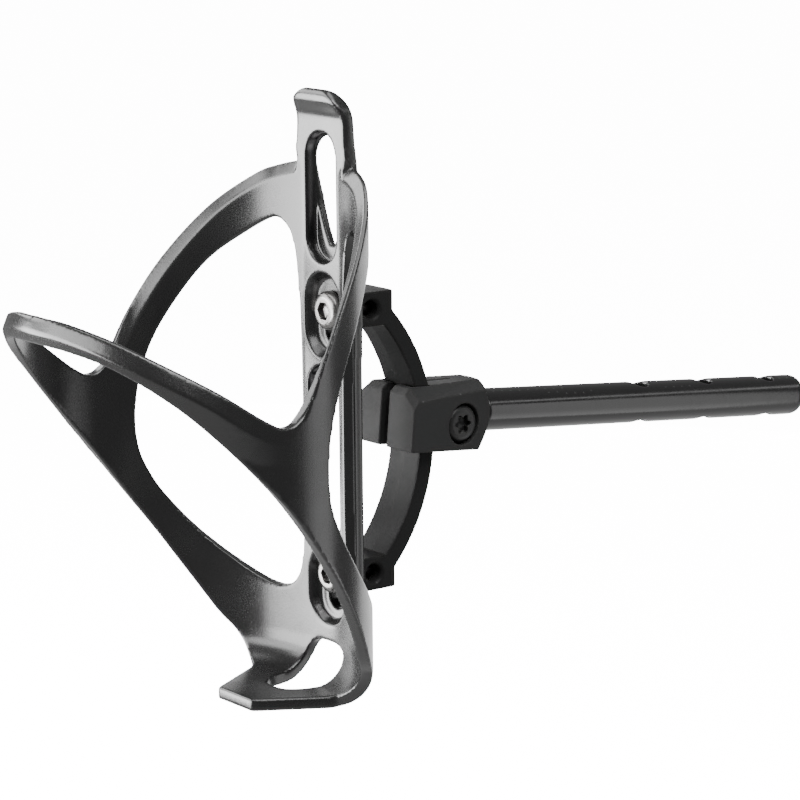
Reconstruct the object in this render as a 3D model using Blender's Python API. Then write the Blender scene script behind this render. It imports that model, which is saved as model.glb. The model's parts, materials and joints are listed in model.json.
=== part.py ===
"""Water bottle cage on an arc bracket, held by a pinch clamp at the end of a support rod.

Pieces are laid out around the bottle: its axis is x = 0, y = 0, the rod leaves towards +Y, +Z is up, and
z = 0 lies midway between the two cage bolts. The last step moves everything to the rod's free end.
"""

import math

import bmesh
import bpy
from mathutils import Matrix, Vector

# Sheet of the cage: a shell around the bottle that bends inwards at the bottom into a foot.
SHEET_INNER_R = 0.0392
SHEET_THICKNESS = 0.0030
FLOOR_Z = -0.0563
BEND_R = 0.0080
BEND_TOP_Z = FLOOR_Z + BEND_R
BEND_STEPS = 7
COLUMN_DEG = 5.0
HOOP_INSET = 0.0008
HOOP_INSET_START = math.radians(105.0)
HOOP_INSET_SPREAD = math.radians(45.0)

# Outlines on the sheet: (degrees round from the spine, millimetres up the sheet).
UPPER_EDGE = [
    (14.0, 66.8), (23.0, 65.3), (32.0, 62.8), (48.0, 54.9), (64.0, 42.6), (76.0, 30.0), (84.5, 19.2),
    (91.0, 15.9), (98.0, 17.8), (113.0, 24.8), (130.0, 31.1), (147.0, 36.1), (164.0, 39.0), (180.0, 39.6),
]
LOWER_EDGE = [
    (180.0, 33.6), (165.0, 33.2), (149.0, 30.8), (133.0, 25.2), (117.0, 16.4), (95.0, 0.4),
    (74.0, -18.8), (59.0, -33.5), (48.0, -44.0), (41.6, -48.7), (38.2, -51.5), (35.0, -54.8),
]
WINDOW_EDGE = [
    (24.5, 52.8), (36.0, 48.4), (49.0, 41.6), (61.0, 31.2), (69.5, 21.0), (74.3, 9.5), (74.3, -2.0),
    (69.0, -11.0), (60.0, -19.5), (50.0, -26.6), (37.0, -33.3), (26.0, -36.9), (18.5, -36.2),
    (14.0, -31.5), (12.6, -22.0), (12.2, 0.0), (12.6, 24.0), (13.6, 39.0), (15.5, 47.5), (18.8, 51.6),
]
BEND_HOLE_EDGE = [
    (0.0, -48.5), (5.5, -48.7), (9.2, -50.0), (11.0, -53.0), (12.2, -57.5), (13.4, -61.5),
    (13.0, -65.0), (9.0, -68.2), (0.0, -69.3),
]
FOOT_FRONT = Vector((0.0068, 0.0116))
FOOT_SHOULDER = Vector((0.0078, 0.0128))
FOOT_BACK = Vector((0.0172, 0.0286))
FOOT_STEPS = 8
SHEET_TOP_BEHIND_SPINE = 0.0580

# Spine: a bar with a flat front, a hook at the top, recesses for the bolts and openings between them.
SPINE_FRONT_Y = 0.0385
SPINE_BACK_Y = 0.0443
SPINE_OUTLINE = [
    (8.2, -48.0), (8.2, 20.0), (9.0, 36.0), (10.4, 50.0), (10.4, 66.8), (9.6, 72.0), (9.5, 76.0),
]
SPINE_FOOT_FRONT = [(39.6, -48.0), (38.5, -43.4)]
SPINE_FOOT_BACK = [(44.3, -45.2), (41.8, -48.0)]
HOOK_CORNER_R = 0.0070
HOOK_CORNER_STEPS = 6
HOOK_TOP_Z = 0.0846
HOOK_TIP = [(38.5, 76.6), (38.1, 78.6), (36.9, 80.8), (36.2, 82.4), (36.7, 84.2), (37.9, 84.6), (39.3, 84.0)]
HOOK_BACK = [(40.6, 82.2), (41.6, 79.6), (42.0, 76.0), (42.1, 66.0), (43.6, 59.0), (43.6, 44.0), (44.3, 41.0)]
RECESS_HALF_WIDTH = 0.0070
RECESS_FLOOR_Y = 0.0415
RECESS_SPAN_Z = [(0.0206, 0.0414), (-0.0447, -0.0255)]
SLOT_HALF_WIDTH = 0.0028
SLOT_SPAN_Z = [(0.0240, 0.0350), (-0.0407, -0.0290)]
WINDOW_HALF_WIDTH = 0.0061
WINDOW_SPAN_Z = (-0.0239, 0.0191)
TEAR_HALF_WIDTH = 0.0059
TEAR_SPAN_Z = (0.0434, 0.0744)
TEAR_FLOOR_Y = 0.0415
TEAR_TOP_Z = 0.0731
TEAR_EDGE = [(5.7, 62.5), (5.3, 58.5), (4.1, 54.5), (2.5, 50.5), (0.9, 47.4)]

# Bolts.
BOLT_SPACING = 0.0640
BOLT_SHANK_R = 0.0024
BOLT_HOLE_R = 0.0027
BOLT_HEAD_R = 0.0047
HEAD_RIM = 0.0005
HEAD_FLAT = 0.0005
DOME_STEPS = 5
CAGE_SHANK_LENGTH = 0.0124
SOCKET_DEPTH_SHARE = 0.7
HEX_SOCKET_R = 0.0023
LOBE_SOCKET_R = 0.0024
LOBE_DEPTH = 0.0004
STEPS_PER_LOBE = 8
FIT_GAP = 0.0003

# Arc bracket.
ARC_CENTRE_Y = 0.0204
ARC_INNER_R = 0.0422
ARC_OUTER_R = 0.0466
ARC_HALF_WIDTH = 0.0060
ARC_HALF_DEG = 42.5
ARC_STEPS = 24
BLOCK_FRONT_Y = SPINE_BACK_Y + FIT_GAP
BLOCK_BACK_Y = 0.0556
BLOCK_SPAN_Z = (0.0280, 0.0362)
BLOCK_CHAMFER = 0.0014
SIDE_HOLE_Y = 0.0487
SIDE_HOLE_R = 0.0021
SIDE_HOLE_MOUTH_R = 0.0028
THREAD_DEPTH = 0.0096

# Clamp and rod: distances along the rod's own axis start at the clamp's middle.
ROD_PITCH_DEG = 5.18
CLAMP_MIDDLE_Y = 0.0720
ROD_HEIGHT = 0.0036
CLAMP_BOLT_DROP = 0.0018
CLAMP_BOLT_ALONG = 0.0020
CLAMP_FRONT = -0.0155
CLAMP_FRONT_BEVEL = 0.0015
CLAMP_END = 0.0124
CLAMP_FRONT_HALF_WIDTH = 0.0116
CLAMP_TAPER = 0.15
CLAMP_BOTTOM = -0.0077
CLAMP_BOTTOM_SLOPE = -0.032
CLAMP_EDGE_TOP = 0.0043
CLAMP_TOP_SLOPE = 0.080
CLAMP_CROWN_RISE = 0.0030
CLAMP_CROWN_SLOPE = -0.040
CLAMP_CROWN_INSET = 0.0040
NOSE_R = 0.0057
NOSE_START = 0.0014
NOSE_START_R = 0.0200
JAW_SLIT = 0.0030
BACK_SLIT = 0.0010
BACK_SLIT_END = 0.0037
POCKET_HALF_DEG = 30.0
CLAMP_RECESS_R = 0.0051
CLAMP_RECESS_FLOOR_X = 0.0061
CLAMP_HEAD_TOP_X = 0.0086
CLAMP_BOLT_TIP_X = -0.0075
CLAMP_BORE_END_X = -0.0081
ROD_R = 0.00525
ROD_EDGE_R = 0.0030
ROD_EDGE_STEPS = 6
SPIGOT_R = 0.0045
SPIGOT_LENGTH = 0.0055
ROD_LENGTH = 0.1084
ROD_HOLE_R = 0.0027
ROD_HOLE_PITCH = 0.0220
ROD_HOLE_FIRST = 0.0120
ROD_HOLES = 3

MM = 0.001
ROUND_SEGMENTS = 40
OVERCUT = 0.0010
CUTTER_REACH = 0.0200
MERGE = 1e-6
SHARP_DEG = 32.0


def clear_scene():
    for obj in list(bpy.data.objects):
        bpy.data.objects.remove(obj, do_unlink=True)


def make_material(name, colour, roughness, metallic):
    material = bpy.data.materials.new(name)
    material.use_nodes = True
    shader = material.node_tree.nodes["Principled BSDF"]
    shader.inputs["Base Color"].default_value = (*colour, 1.0)
    shader.inputs["Roughness"].default_value = roughness
    shader.inputs["Metallic"].default_value = metallic
    return material


def object_from(name, bm):
    """Turn a finished bmesh into a scene object with outward faces."""
    bmesh.ops.recalc_face_normals(bm, faces=bm.faces)
    mesh = bpy.data.meshes.new(name)
    bm.to_mesh(mesh)
    bm.free()
    obj = bpy.data.objects.new(name, mesh)
    bpy.context.scene.collection.objects.link(obj)
    return obj


def prism(name, outline, axis, low, high):
    """Extrude a closed outline along X, Y or Z; the outline is in the other two axes, in XYZ order."""
    index = "XYZ".index(axis)
    bm = bmesh.new()
    rings = []
    for level in (low, high):
        ring = []
        for first, second in outline:
            place = [first, second]
            place.insert(index, level)
            ring.append(bm.verts.new(place))
        rings.append(ring)
    bridge(bm, rings[0], rings[1])
    bm.faces.new(rings[0])
    bm.faces.new(rings[1])
    return object_from(name, bm)


def bridge(bm, ring, following):
    count = len(ring)
    for i in range(count):
        bm.faces.new((ring[i], ring[(i + 1) % count], following[(i + 1) % count], following[i]))


def lathe(name, profile, frame):
    """Turn a profile of (radius, distance along) about the frame's local Z; both ends lie on it."""
    bm = bmesh.new()
    tips = [bm.verts.new(frame @ Vector((0.0, 0.0, profile[i][1]))) for i in (0, -1)]
    rings = []
    for radius, along in profile[1:-1]:
        ring = []
        for i in range(ROUND_SEGMENTS):
            turn = 2.0 * math.pi * i / ROUND_SEGMENTS
            place = Vector((radius * math.cos(turn), radius * math.sin(turn), along))
            ring.append(bm.verts.new(frame @ place))
        rings.append(ring)
    for ring, following in zip(rings, rings[1:]):
        bridge(bm, ring, following)
    for tip, ring in zip(tips, (rings[0], rings[-1])):
        for i in range(ROUND_SEGMENTS):
            bm.faces.new((tip, ring[i], ring[(i + 1) % ROUND_SEGMENTS]))
    return object_from(name, bm)


def cylinder(name, radius, low, high, frame):
    return lathe(name, [(0.0, low), (radius, low), (radius, high), (0.0, high)], frame)


def combine(target, tool, operation):
    """Apply a Boolean and throw the tool away."""
    tool.hide_render = True
    tool.display_type = "WIRE"
    modifier = target.modifiers.new(operation, "BOOLEAN")
    modifier.operation = operation
    modifier.solver = "EXACT"
    modifier.object = tool
    evaluated = target.evaluated_get(bpy.context.evaluated_depsgraph_get())
    mesh = bpy.data.meshes.new_from_object(evaluated)
    target.modifiers.clear()
    target.data = mesh
    bpy.data.objects.remove(tool, do_unlink=True)


def frame_along(axis, origin):
    """Matrix whose local Z lies along the given direction."""
    return Matrix.Translation(origin) @ Vector(axis).to_track_quat("Z", "Y").to_matrix().to_4x4()


def smooth_curve(points, steps, closed):
    """Catmull-Rom curve through the points, with this many steps between each pair."""
    count = len(points)
    result = []
    for i in range(count if closed else count - 1):
        if closed:
            near = [Vector(points[(i + k) % count]) for k in (-1, 0, 1, 2)]
        else:
            near = [Vector(points[min(max(i + k, 0), count - 1)]) for k in (-1, 0, 1, 2)]
        for step in range(steps):
            t = step / steps
            a = 2.0 * near[1]
            b = near[2] - near[0]
            c = 2.0 * near[0] - 5.0 * near[1] + 4.0 * near[2] - near[3]
            d = -near[0] + 3.0 * near[1] - 3.0 * near[2] + near[3]
            result.append(0.5 * (a + b * t + c * t * t + d * t * t * t))
    if not closed:
        result.append(Vector(points[-1]))
    return result


def rounded_slot(half_width, span):
    """Outline of a slot with half-round ends, in x and z."""
    low, high = span
    outline = []
    for centre_z, start in ((high - half_width, 0.0), (low + half_width, math.pi)):
        for i in range(ROUND_SEGMENTS // 2 + 1):
            turn = start + 2.0 * math.pi * i / ROUND_SEGMENTS
            outline.append((half_width * math.cos(turn), centre_z + half_width * math.sin(turn)))
    return outline


def sheet_point(turn, run, depth):
    """Point on the sheet: turn about the bottle, run up the sheet, depth outwards from its inner face."""
    past = BEND_TOP_Z - run
    if past <= 0.0:
        radius, z, out, down = SHEET_INNER_R, run, 1.0, 0.0
    elif past < BEND_R * math.pi / 2.0:
        out, down = math.cos(past / BEND_R), math.sin(past / BEND_R)
        radius = SHEET_INNER_R - BEND_R * (1.0 - out)
        z = BEND_TOP_Z - BEND_R * down
    else:
        radius = SHEET_INNER_R - BEND_R - (past - BEND_R * math.pi / 2.0)
        z, out, down = FLOOR_Z, 0.0, 1.0
    radius += depth * out - HOOP_INSET * blend((abs(turn) - HOOP_INSET_START) / HOOP_INSET_SPREAD)
    return Vector((radius * math.sin(turn), radius * math.cos(turn), z - depth * down))


def blend(x):
    """Smooth step from 0 to 1."""
    x = min(max(x, 0.0), 1.0)
    return x * x * (3.0 - 2.0 * x)


def plan_to_sheet(place):
    """Turn a place seen from above, on the bend or the foot, into sheet coordinates."""
    radius = place.length
    inset = SHEET_INNER_R - radius
    if inset < BEND_R:
        past = BEND_R * math.acos(1.0 - inset / BEND_R)
    else:
        past = BEND_R * math.pi / 2.0 + inset - BEND_R
    return Vector((math.atan2(place.x, place.y), BEND_TOP_Z - past))


def sheet_outline(points, steps, closed):
    curve = smooth_curve(points, steps, closed)
    return [Vector((math.radians(point.x), point.y * MM)) for point in curve]


def half_sheet_loops():
    """Edges of the right half of the sheet in sheet coordinates: the outer loop and the side window."""
    outer = [Vector((0.0, SHEET_TOP_BEHIND_SPINE))]
    outer += sheet_outline(UPPER_EDGE, 4, closed=False)
    outer += sheet_outline(LOWER_EDGE, 4, closed=False)
    for i in range(FOOT_STEPS):
        outer.append(plan_to_sheet(FOOT_BACK.lerp(FOOT_SHOULDER, i / (FOOT_STEPS - 1))))
    for x in (FOOT_FRONT.x, FOOT_FRONT.x / 2.0, 0.0):
        outer.append(plan_to_sheet(Vector((x, FOOT_FRONT.y))))
    outer += reversed(sheet_outline(BEND_HOLE_EDGE, 3, closed=False))
    return outer, sheet_outline(WINDOW_EDGE, 3, closed=True)


def cut_flat(bm, place, normal):
    geometry = list(bm.verts) + list(bm.edges) + list(bm.faces)
    bmesh.ops.bisect_plane(bm, geom=geometry, dist=MERGE / 10.0, plane_co=place, plane_no=normal)


def flat_half_sheet():
    """Fill the half outline in the flat, true to size along the inner face, and cut it into columns."""
    bm = bmesh.new()
    edges = []
    for loop in half_sheet_loops():
        verts = [bm.verts.new((point.x * SHEET_INNER_R, point.y, 0.0)) for point in loop]
        for i, vert in enumerate(verts):
            edges.append(bm.edges.new((vert, verts[(i + 1) % len(verts)])))
    bmesh.ops.triangle_fill(bm, edges=edges, use_beauty=True)
    for i in range(1, round(180.0 / COLUMN_DEG)):
        cut_flat(bm, (math.radians(i * COLUMN_DEG) * SHEET_INNER_R, 0.0, 0.0), (1.0, 0.0, 0.0))
    for i in range(BEND_STEPS + 1):
        cut_flat(bm, (0.0, BEND_TOP_Z - BEND_R * math.pi / 2.0 * i / BEND_STEPS, 0.0), (0.0, 1.0, 0.0))
    bmesh.ops.triangulate(bm, faces=bm.faces)
    return bm


def build_sheet(name):
    """Wrap the flat half round the bottle, thicken it, and mirror it to the other side."""
    flat = flat_half_sheet()
    seam = (0.0, math.pi * SHEET_INNER_R)
    bm = bmesh.new()
    for side in (1.0, -1.0):
        layers = []
        for depth in (0.0, SHEET_THICKNESS):
            layer = {}
            for vert in flat.verts:
                place = sheet_point(vert.co.x / SHEET_INNER_R, vert.co.y, depth)
                layer[vert] = bm.verts.new((place.x * side, place.y, place.z))
            layers.append(layer)
            for face in flat.faces:
                bm.faces.new([layer[vert] for vert in face.verts])
        for edge in flat.edges:
            a, b = edge.verts
            on_seam = any(abs(a.co.x - x) < MERGE and abs(b.co.x - x) < MERGE for x in seam)
            if edge.is_boundary and not on_seam:
                bm.faces.new((layers[0][a], layers[0][b], layers[1][b], layers[1][a]))
    flat.free()
    bmesh.ops.remove_doubles(bm, verts=bm.verts, dist=MERGE)
    return object_from(name, bm)


def hook_outline():
    """Front view of the spine: straight sides, then rounded upper corners."""
    right = [(x * MM, z * MM) for x, z in SPINE_OUTLINE]
    half_width = right[-1][0]
    for i in range(HOOK_CORNER_STEPS + 1):
        turn = math.pi / 2.0 * i / HOOK_CORNER_STEPS
        x = half_width - HOOK_CORNER_R * (1.0 - math.cos(turn))
        right.append((x, HOOK_TOP_Z + FIT_GAP - HOOK_CORNER_R * (1.0 - math.sin(turn))))
    return right + [(-x, z) for x, z in reversed(right)]


def build_spine(name):
    """Cross a front view with a side view; the bar's lower end runs out into the sheet."""
    spine = prism(name, hook_outline(), "Y", SPINE_FRONT_Y - CUTTER_REACH, SPINE_BACK_Y + CUTTER_REACH)
    side = [(y * MM, z * MM) for y, z in SPINE_FOOT_FRONT + HOOK_TIP + HOOK_BACK + SPINE_FOOT_BACK]
    combine(spine, prism("spine_side", side, "X", -CUTTER_REACH, CUTTER_REACH), "INTERSECT")
    return spine


def tear_through_outline():
    """Outline of the opening under the hook: round at the top, narrowing to a point at the bottom."""
    edge = [(x * MM, z * MM) for x, z in TEAR_EDGE]
    radius = edge[0][0]
    outline = []
    for i in range(ROUND_SEGMENTS // 2 + 1):
        turn = 2.0 * math.pi * i / ROUND_SEGMENTS
        outline.append((radius * math.cos(turn), TEAR_TOP_Z - radius * (1.0 - math.sin(turn))))
    outline += [(-x, z) for x, z in edge]
    return outline + edge[::-1]


def cut_spine_openings(cage):
    front = SPINE_FRONT_Y - CUTTER_REACH / 2.0
    behind = SPINE_BACK_Y + CUTTER_REACH / 2.0
    cuts = [(rounded_slot(TEAR_HALF_WIDTH, TEAR_SPAN_Z), TEAR_FLOOR_Y)]
    cuts.append((tear_through_outline(), behind))
    cuts.append((rounded_slot(WINDOW_HALF_WIDTH, WINDOW_SPAN_Z), behind))
    cuts += [(rounded_slot(RECESS_HALF_WIDTH, span), RECESS_FLOOR_Y) for span in RECESS_SPAN_Z]
    cuts += [(rounded_slot(SLOT_HALF_WIDTH, span), behind) for span in SLOT_SPAN_Z]
    for outline, depth_y in cuts:
        combine(cage, prism("opening", outline, "Y", front, depth_y), "DIFFERENCE")


def build_cage(material):
    cage = build_sheet("cage_body")
    combine(cage, build_spine("spine"), "UNION")
    cut_spine_openings(cage)
    return finish(cage, material)


def socket_outline(sides, radius, lobe):
    """Outline of a driver socket: a polygon, or a round with lobes when lobe is not zero."""
    if lobe == 0.0:
        turns = [2.0 * math.pi * i / sides for i in range(sides)]
        return [(radius * math.cos(turn), radius * math.sin(turn)) for turn in turns]
    outline = []
    steps = sides * STEPS_PER_LOBE
    for i in range(steps):
        turn = 2.0 * math.pi * i / steps
        reach = radius - lobe * (1.0 - math.cos(sides * turn))
        outline.append((reach * math.cos(turn), reach * math.sin(turn)))
    return outline


def domed_bolt(name, frame, dome, shank_length, socket, material):
    """Bolt with a domed head whose flat top lies at the frame's origin; local Z points out of the head."""
    flat_r = max(math.hypot(x, y) for x, y in socket) + HEAD_FLAT
    profile = [(0.0, -dome - shank_length), (BOLT_SHANK_R, -dome - shank_length), (BOLT_SHANK_R, -dome)]
    profile.append((BOLT_HEAD_R, -dome))
    for i in range(DOME_STEPS + 1):
        turn = math.pi / 2.0 * i / DOME_STEPS
        reach = flat_r + (BOLT_HEAD_R - flat_r) * math.cos(turn)
        profile.append((reach, (dome - HEAD_RIM) * (math.sin(turn) - 1.0)))
    profile.append((0.0, 0.0))
    bolt = lathe(name, profile, frame)
    cutter = prism("socket", socket, "Z", -dome * SOCKET_DEPTH_SHARE, OVERCUT)
    cutter.data.transform(frame)
    combine(bolt, cutter, "DIFFERENCE")
    return finish(bolt, material)


def build_cage_bolts(material):
    bolts = []
    for name, z in (("cage_bolt_upper", BOLT_SPACING / 2.0), ("cage_bolt_lower", -BOLT_SPACING / 2.0)):
        frame = frame_along((0.0, -1.0, 0.0), (0.0, SPINE_FRONT_Y + FIT_GAP, z))
        dome = RECESS_FLOOR_Y - SPINE_FRONT_Y - 2.0 * FIT_GAP
        socket = socket_outline(6, HEX_SOCKET_R, 0.0)
        bolts.append(domed_bolt(name, frame, dome, CAGE_SHANK_LENGTH, socket, material))
    return bolts


def arc_outline(inner, outer, half_deg):
    """Ring segment about the arc's centre, in y and z."""
    outline = []
    for radius, direction in ((outer, 1.0), (inner, -1.0)):
        for i in range(ARC_STEPS + 1):
            turn = math.radians(half_deg) * direction * (2.0 * i / ARC_STEPS - 1.0)
            outline.append((ARC_CENTRE_Y + radius * math.cos(turn), radius * math.sin(turn)))
    return outline


def build_arc_bracket(material):
    ring = arc_outline(ARC_INNER_R, ARC_OUTER_R, ARC_HALF_DEG)
    bracket = prism("arc_bracket", ring, "X", -ARC_HALF_WIDTH, ARC_HALF_WIDTH)
    corner = ARC_HALF_WIDTH - BLOCK_CHAMFER
    plan = [
        (-ARC_HALF_WIDTH, BLOCK_FRONT_Y), (ARC_HALF_WIDTH, BLOCK_FRONT_Y),
        (ARC_HALF_WIDTH, BLOCK_BACK_Y - BLOCK_CHAMFER), (corner, BLOCK_BACK_Y),
        (-corner, BLOCK_BACK_Y), (-ARC_HALF_WIDTH, BLOCK_BACK_Y - BLOCK_CHAMFER),
    ]
    low, high = BLOCK_SPAN_Z
    for bottom, top in ((low, high), (-high, -low)):
        combine(bracket, prism("block", plan, "Z", bottom, top), "UNION")
    for z in (BOLT_SPACING / 2.0, -BOLT_SPACING / 2.0):
        front = frame_along((0.0, 1.0, 0.0), (0.0, BLOCK_FRONT_Y, z))
        combine(bracket, cylinder("thread", BOLT_HOLE_R, -OVERCUT, THREAD_DEPTH, front), "DIFFERENCE")
        side = frame_along((1.0, 0.0, 0.0), (0.0, SIDE_HOLE_Y, z))
        inner = ARC_HALF_WIDTH - (SIDE_HOLE_MOUTH_R - SIDE_HOLE_R)
        outer = ARC_HALF_WIDTH + OVERCUT
        flare = SIDE_HOLE_MOUTH_R + OVERCUT
        profile = [(0.0, -outer), (flare, -outer), (SIDE_HOLE_R, -inner)]
        profile += [(SIDE_HOLE_R, inner), (flare, outer), (0.0, outer)]
        combine(bracket, lathe("side_thread", profile, side), "DIFFERENCE")
    return finish(bracket, material)


def rod_frame():
    """Local Z along the rod towards its free end, local Y upwards, origin at the clamp's middle."""
    pitch = math.radians(ROD_PITCH_DEG)
    along = Vector((0.0, math.cos(pitch), -math.sin(pitch)))
    across = Vector((-1.0, 0.0, 0.0))
    up = along.cross(across)
    matrix = Matrix((across, up, along)).transposed().to_4x4()
    return Matrix.Translation((0.0, CLAMP_MIDDLE_Y, ROD_HEIGHT)) @ matrix


def clamp_section(along, drop):
    """Six-sided cross-section of the clamp, as (across, up, along) in the rod's frame."""
    back = along - CLAMP_FRONT
    half = CLAMP_FRONT_HALF_WIDTH - CLAMP_TAPER * back
    crown = half - CLAMP_CROWN_INSET
    bottom = CLAMP_BOTTOM + CLAMP_BOTTOM_SLOPE * back
    top = CLAMP_EDGE_TOP + CLAMP_TOP_SLOPE * back - drop
    right = [(half, bottom), (half, top), (crown, top + CLAMP_CROWN_RISE + CLAMP_CROWN_SLOPE * back)]
    return [(x, up, along) for x, up in right + [(-x, up) for x, up in reversed(right)]]


def build_clamp_blank(name):
    bm = bmesh.new()
    rings = []
    shoulder = CLAMP_FRONT + CLAMP_FRONT_BEVEL
    for along, drop in ((CLAMP_FRONT, CLAMP_FRONT_BEVEL), (shoulder, 0.0), (CLAMP_END, 0.0)):
        rings.append([bm.verts.new(rod_frame() @ Vector(corner)) for corner in clamp_section(along, drop)])
    for ring, following in zip(rings, rings[1:]):
        bridge(bm, ring, following)
    bm.faces.new(rings[0])
    bm.faces.new(rings[-1])
    return object_from(name, bm)


def box_along_rod(name, half_width, start, end):
    """Tall thin cutter in the rod's own plane."""
    low, high = -CUTTER_REACH, CUTTER_REACH
    outline = [(-half_width, low), (half_width, low), (half_width, high), (-half_width, high)]
    box = prism(name, outline, "Z", start, end)
    box.data.transform(rod_frame())
    return box


def build_clamp(material):
    clamp = build_clamp_blank("clamp_block")
    front = CLAMP_FRONT - CUTTER_REACH
    nose = [(0.0, front), (NOSE_START_R, front), (NOSE_START_R, NOSE_START)]
    nose += [(NOSE_R, CLAMP_END), (0.0, CLAMP_END)]
    combine(clamp, lathe("nose", nose, rod_frame()), "INTERSECT")
    pocket = arc_outline(ARC_INNER_R - FIT_GAP, ARC_OUTER_R + FIT_GAP, POCKET_HALF_DEG)
    reach = ARC_HALF_WIDTH + FIT_GAP
    combine(clamp, prism("pocket", pocket, "X", -reach, reach), "DIFFERENCE")
    in_pocket = ARC_CENTRE_Y + (ARC_INNER_R + ARC_OUTER_R) / 2.0 - CLAMP_MIDDLE_Y
    combine(clamp, box_along_rod("jaw_slit", JAW_SLIT / 2.0, front, in_pocket), "DIFFERENCE")
    combine(clamp, box_along_rod("back_slit", BACK_SLIT / 2.0, in_pocket, BACK_SLIT_END), "DIFFERENCE")
    bolt = clamp_bolt_frame(0.0)
    combine(clamp, cylinder("recess", CLAMP_RECESS_R, CLAMP_RECESS_FLOOR_X, CUTTER_REACH, bolt), "DIFFERENCE")
    combine(clamp, cylinder("bolt_hole", BOLT_HOLE_R, CLAMP_BORE_END_X, CUTTER_REACH, bolt), "DIFFERENCE")
    bore_start = CLAMP_END - SPIGOT_LENGTH - FIT_GAP
    combine(clamp, cylinder("bore", SPIGOT_R + FIT_GAP, bore_start, CUTTER_REACH, rod_frame()), "DIFFERENCE")
    return finish(clamp, material)


def clamp_bolt_frame(x):
    origin = rod_frame() @ Vector((0.0, -CLAMP_BOLT_DROP, CLAMP_BOLT_ALONG))
    return frame_along((1.0, 0.0, 0.0), (x, origin.y, origin.z))


def build_clamp_bolt(material):
    dome = CLAMP_HEAD_TOP_X - CLAMP_RECESS_FLOOR_X - FIT_GAP
    shank = CLAMP_RECESS_FLOOR_X + FIT_GAP - CLAMP_BOLT_TIP_X
    socket = socket_outline(6, LOBE_SOCKET_R, LOBE_DEPTH)
    return domed_bolt("clamp_bolt", clamp_bolt_frame(CLAMP_HEAD_TOP_X), dome, shank, socket, material)


def build_rod(material):
    shoulder = CLAMP_END + FIT_GAP
    end = shoulder + ROD_LENGTH
    spigot_start = CLAMP_END - SPIGOT_LENGTH
    profile = [(0.0, spigot_start), (SPIGOT_R, spigot_start), (SPIGOT_R, shoulder), (ROD_R, shoulder)]
    for i in range(ROD_EDGE_STEPS + 1):
        turn = math.pi / 2.0 * i / ROD_EDGE_STEPS
        reach = ROD_R - ROD_EDGE_R * (1.0 - math.cos(turn))
        profile.append((reach, end - ROD_EDGE_R * (1.0 - math.sin(turn))))
    profile.append((0.0, end))
    rod = lathe("support_rod", profile, rod_frame())
    for i in range(ROD_HOLES):
        origin = rod_frame() @ Vector((0.0, 0.0, end - ROD_HOLE_FIRST - i * ROD_HOLE_PITCH))
        frame = frame_along(rod_frame().to_3x3() @ Vector((0.0, 1.0, 0.0)), origin)
        combine(rod, cylinder("cross_hole", ROD_HOLE_R, -CUTTER_REACH, CUTTER_REACH, frame), "DIFFERENCE")
    return finish(rod, material)


def rod_end():
    return rod_frame() @ Vector((0.0, 0.0, CLAMP_END + FIT_GAP + ROD_LENGTH))


def place(piece, origin):
    """Give a piece its own origin, and put the layout's rod end at the world's origin."""
    piece.data.transform(Matrix.Translation(-origin))
    piece.location = origin - rod_end()


def finish(obj, material):
    """Clean, triangulate, colour and shade a finished piece."""
    bm = bmesh.new()
    bm.from_mesh(obj.data)
    bmesh.ops.remove_doubles(bm, verts=bm.verts, dist=2.0 * MERGE)
    bmesh.ops.dissolve_degenerate(bm, edges=bm.edges, dist=2.0 * MERGE)
    bmesh.ops.triangulate(bm, faces=bm.faces)
    bm.to_mesh(obj.data)
    bm.free()
    obj.data.materials.clear()
    obj.data.materials.append(material)
    obj.data.shade_smooth()
    obj.data.set_sharp_from_angle(angle=math.radians(SHARP_DEG))
    return obj


def build():
    clear_scene()
    moulding = make_material("cage_moulding", (0.030, 0.030, 0.032), 0.28, 0.0)
    stainless = make_material("stainless_bolt", (0.62, 0.61, 0.58), 0.28, 1.0)
    bracket_black = make_material("bracket_black", (0.040, 0.040, 0.041), 0.45, 0.0)
    clamp_black = make_material("clamp_black", (0.045, 0.045, 0.046), 0.48, 0.0)
    bolt_black = make_material("bolt_black", (0.040, 0.040, 0.041), 0.40, 0.6)
    rod_gloss = make_material("rod_gloss", (0.025, 0.025, 0.026), 0.22, 0.0)
    cradle = [build_cage(moulding), *build_cage_bolts(stainless), build_arc_bracket(bracket_black)]
    holder = [build_clamp(clamp_black), build_clamp_bolt(bolt_black), build_rod(rod_gloss)]
    tilt_axis = Vector((0.0, ARC_CENTRE_Y, 0.0))
    for piece in cradle:
        place(piece, tilt_axis)
    for piece in holder:
        place(piece, rod_end())


build()
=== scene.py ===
"""Finished look of the water bottle cage: finer pieces, materials, studio light and camera.

Pieces are laid out around the bottle: its axis is x = 0, y = 0, the rod leaves towards +Y, +Z is up, and
z = 0 lies midway between the cage bolts. deliver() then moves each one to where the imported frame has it.
"""

import json
import math

import bmesh
import bpy
from mathutils import Matrix, Vector
from mathutils.kdtree import KDTree


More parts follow.
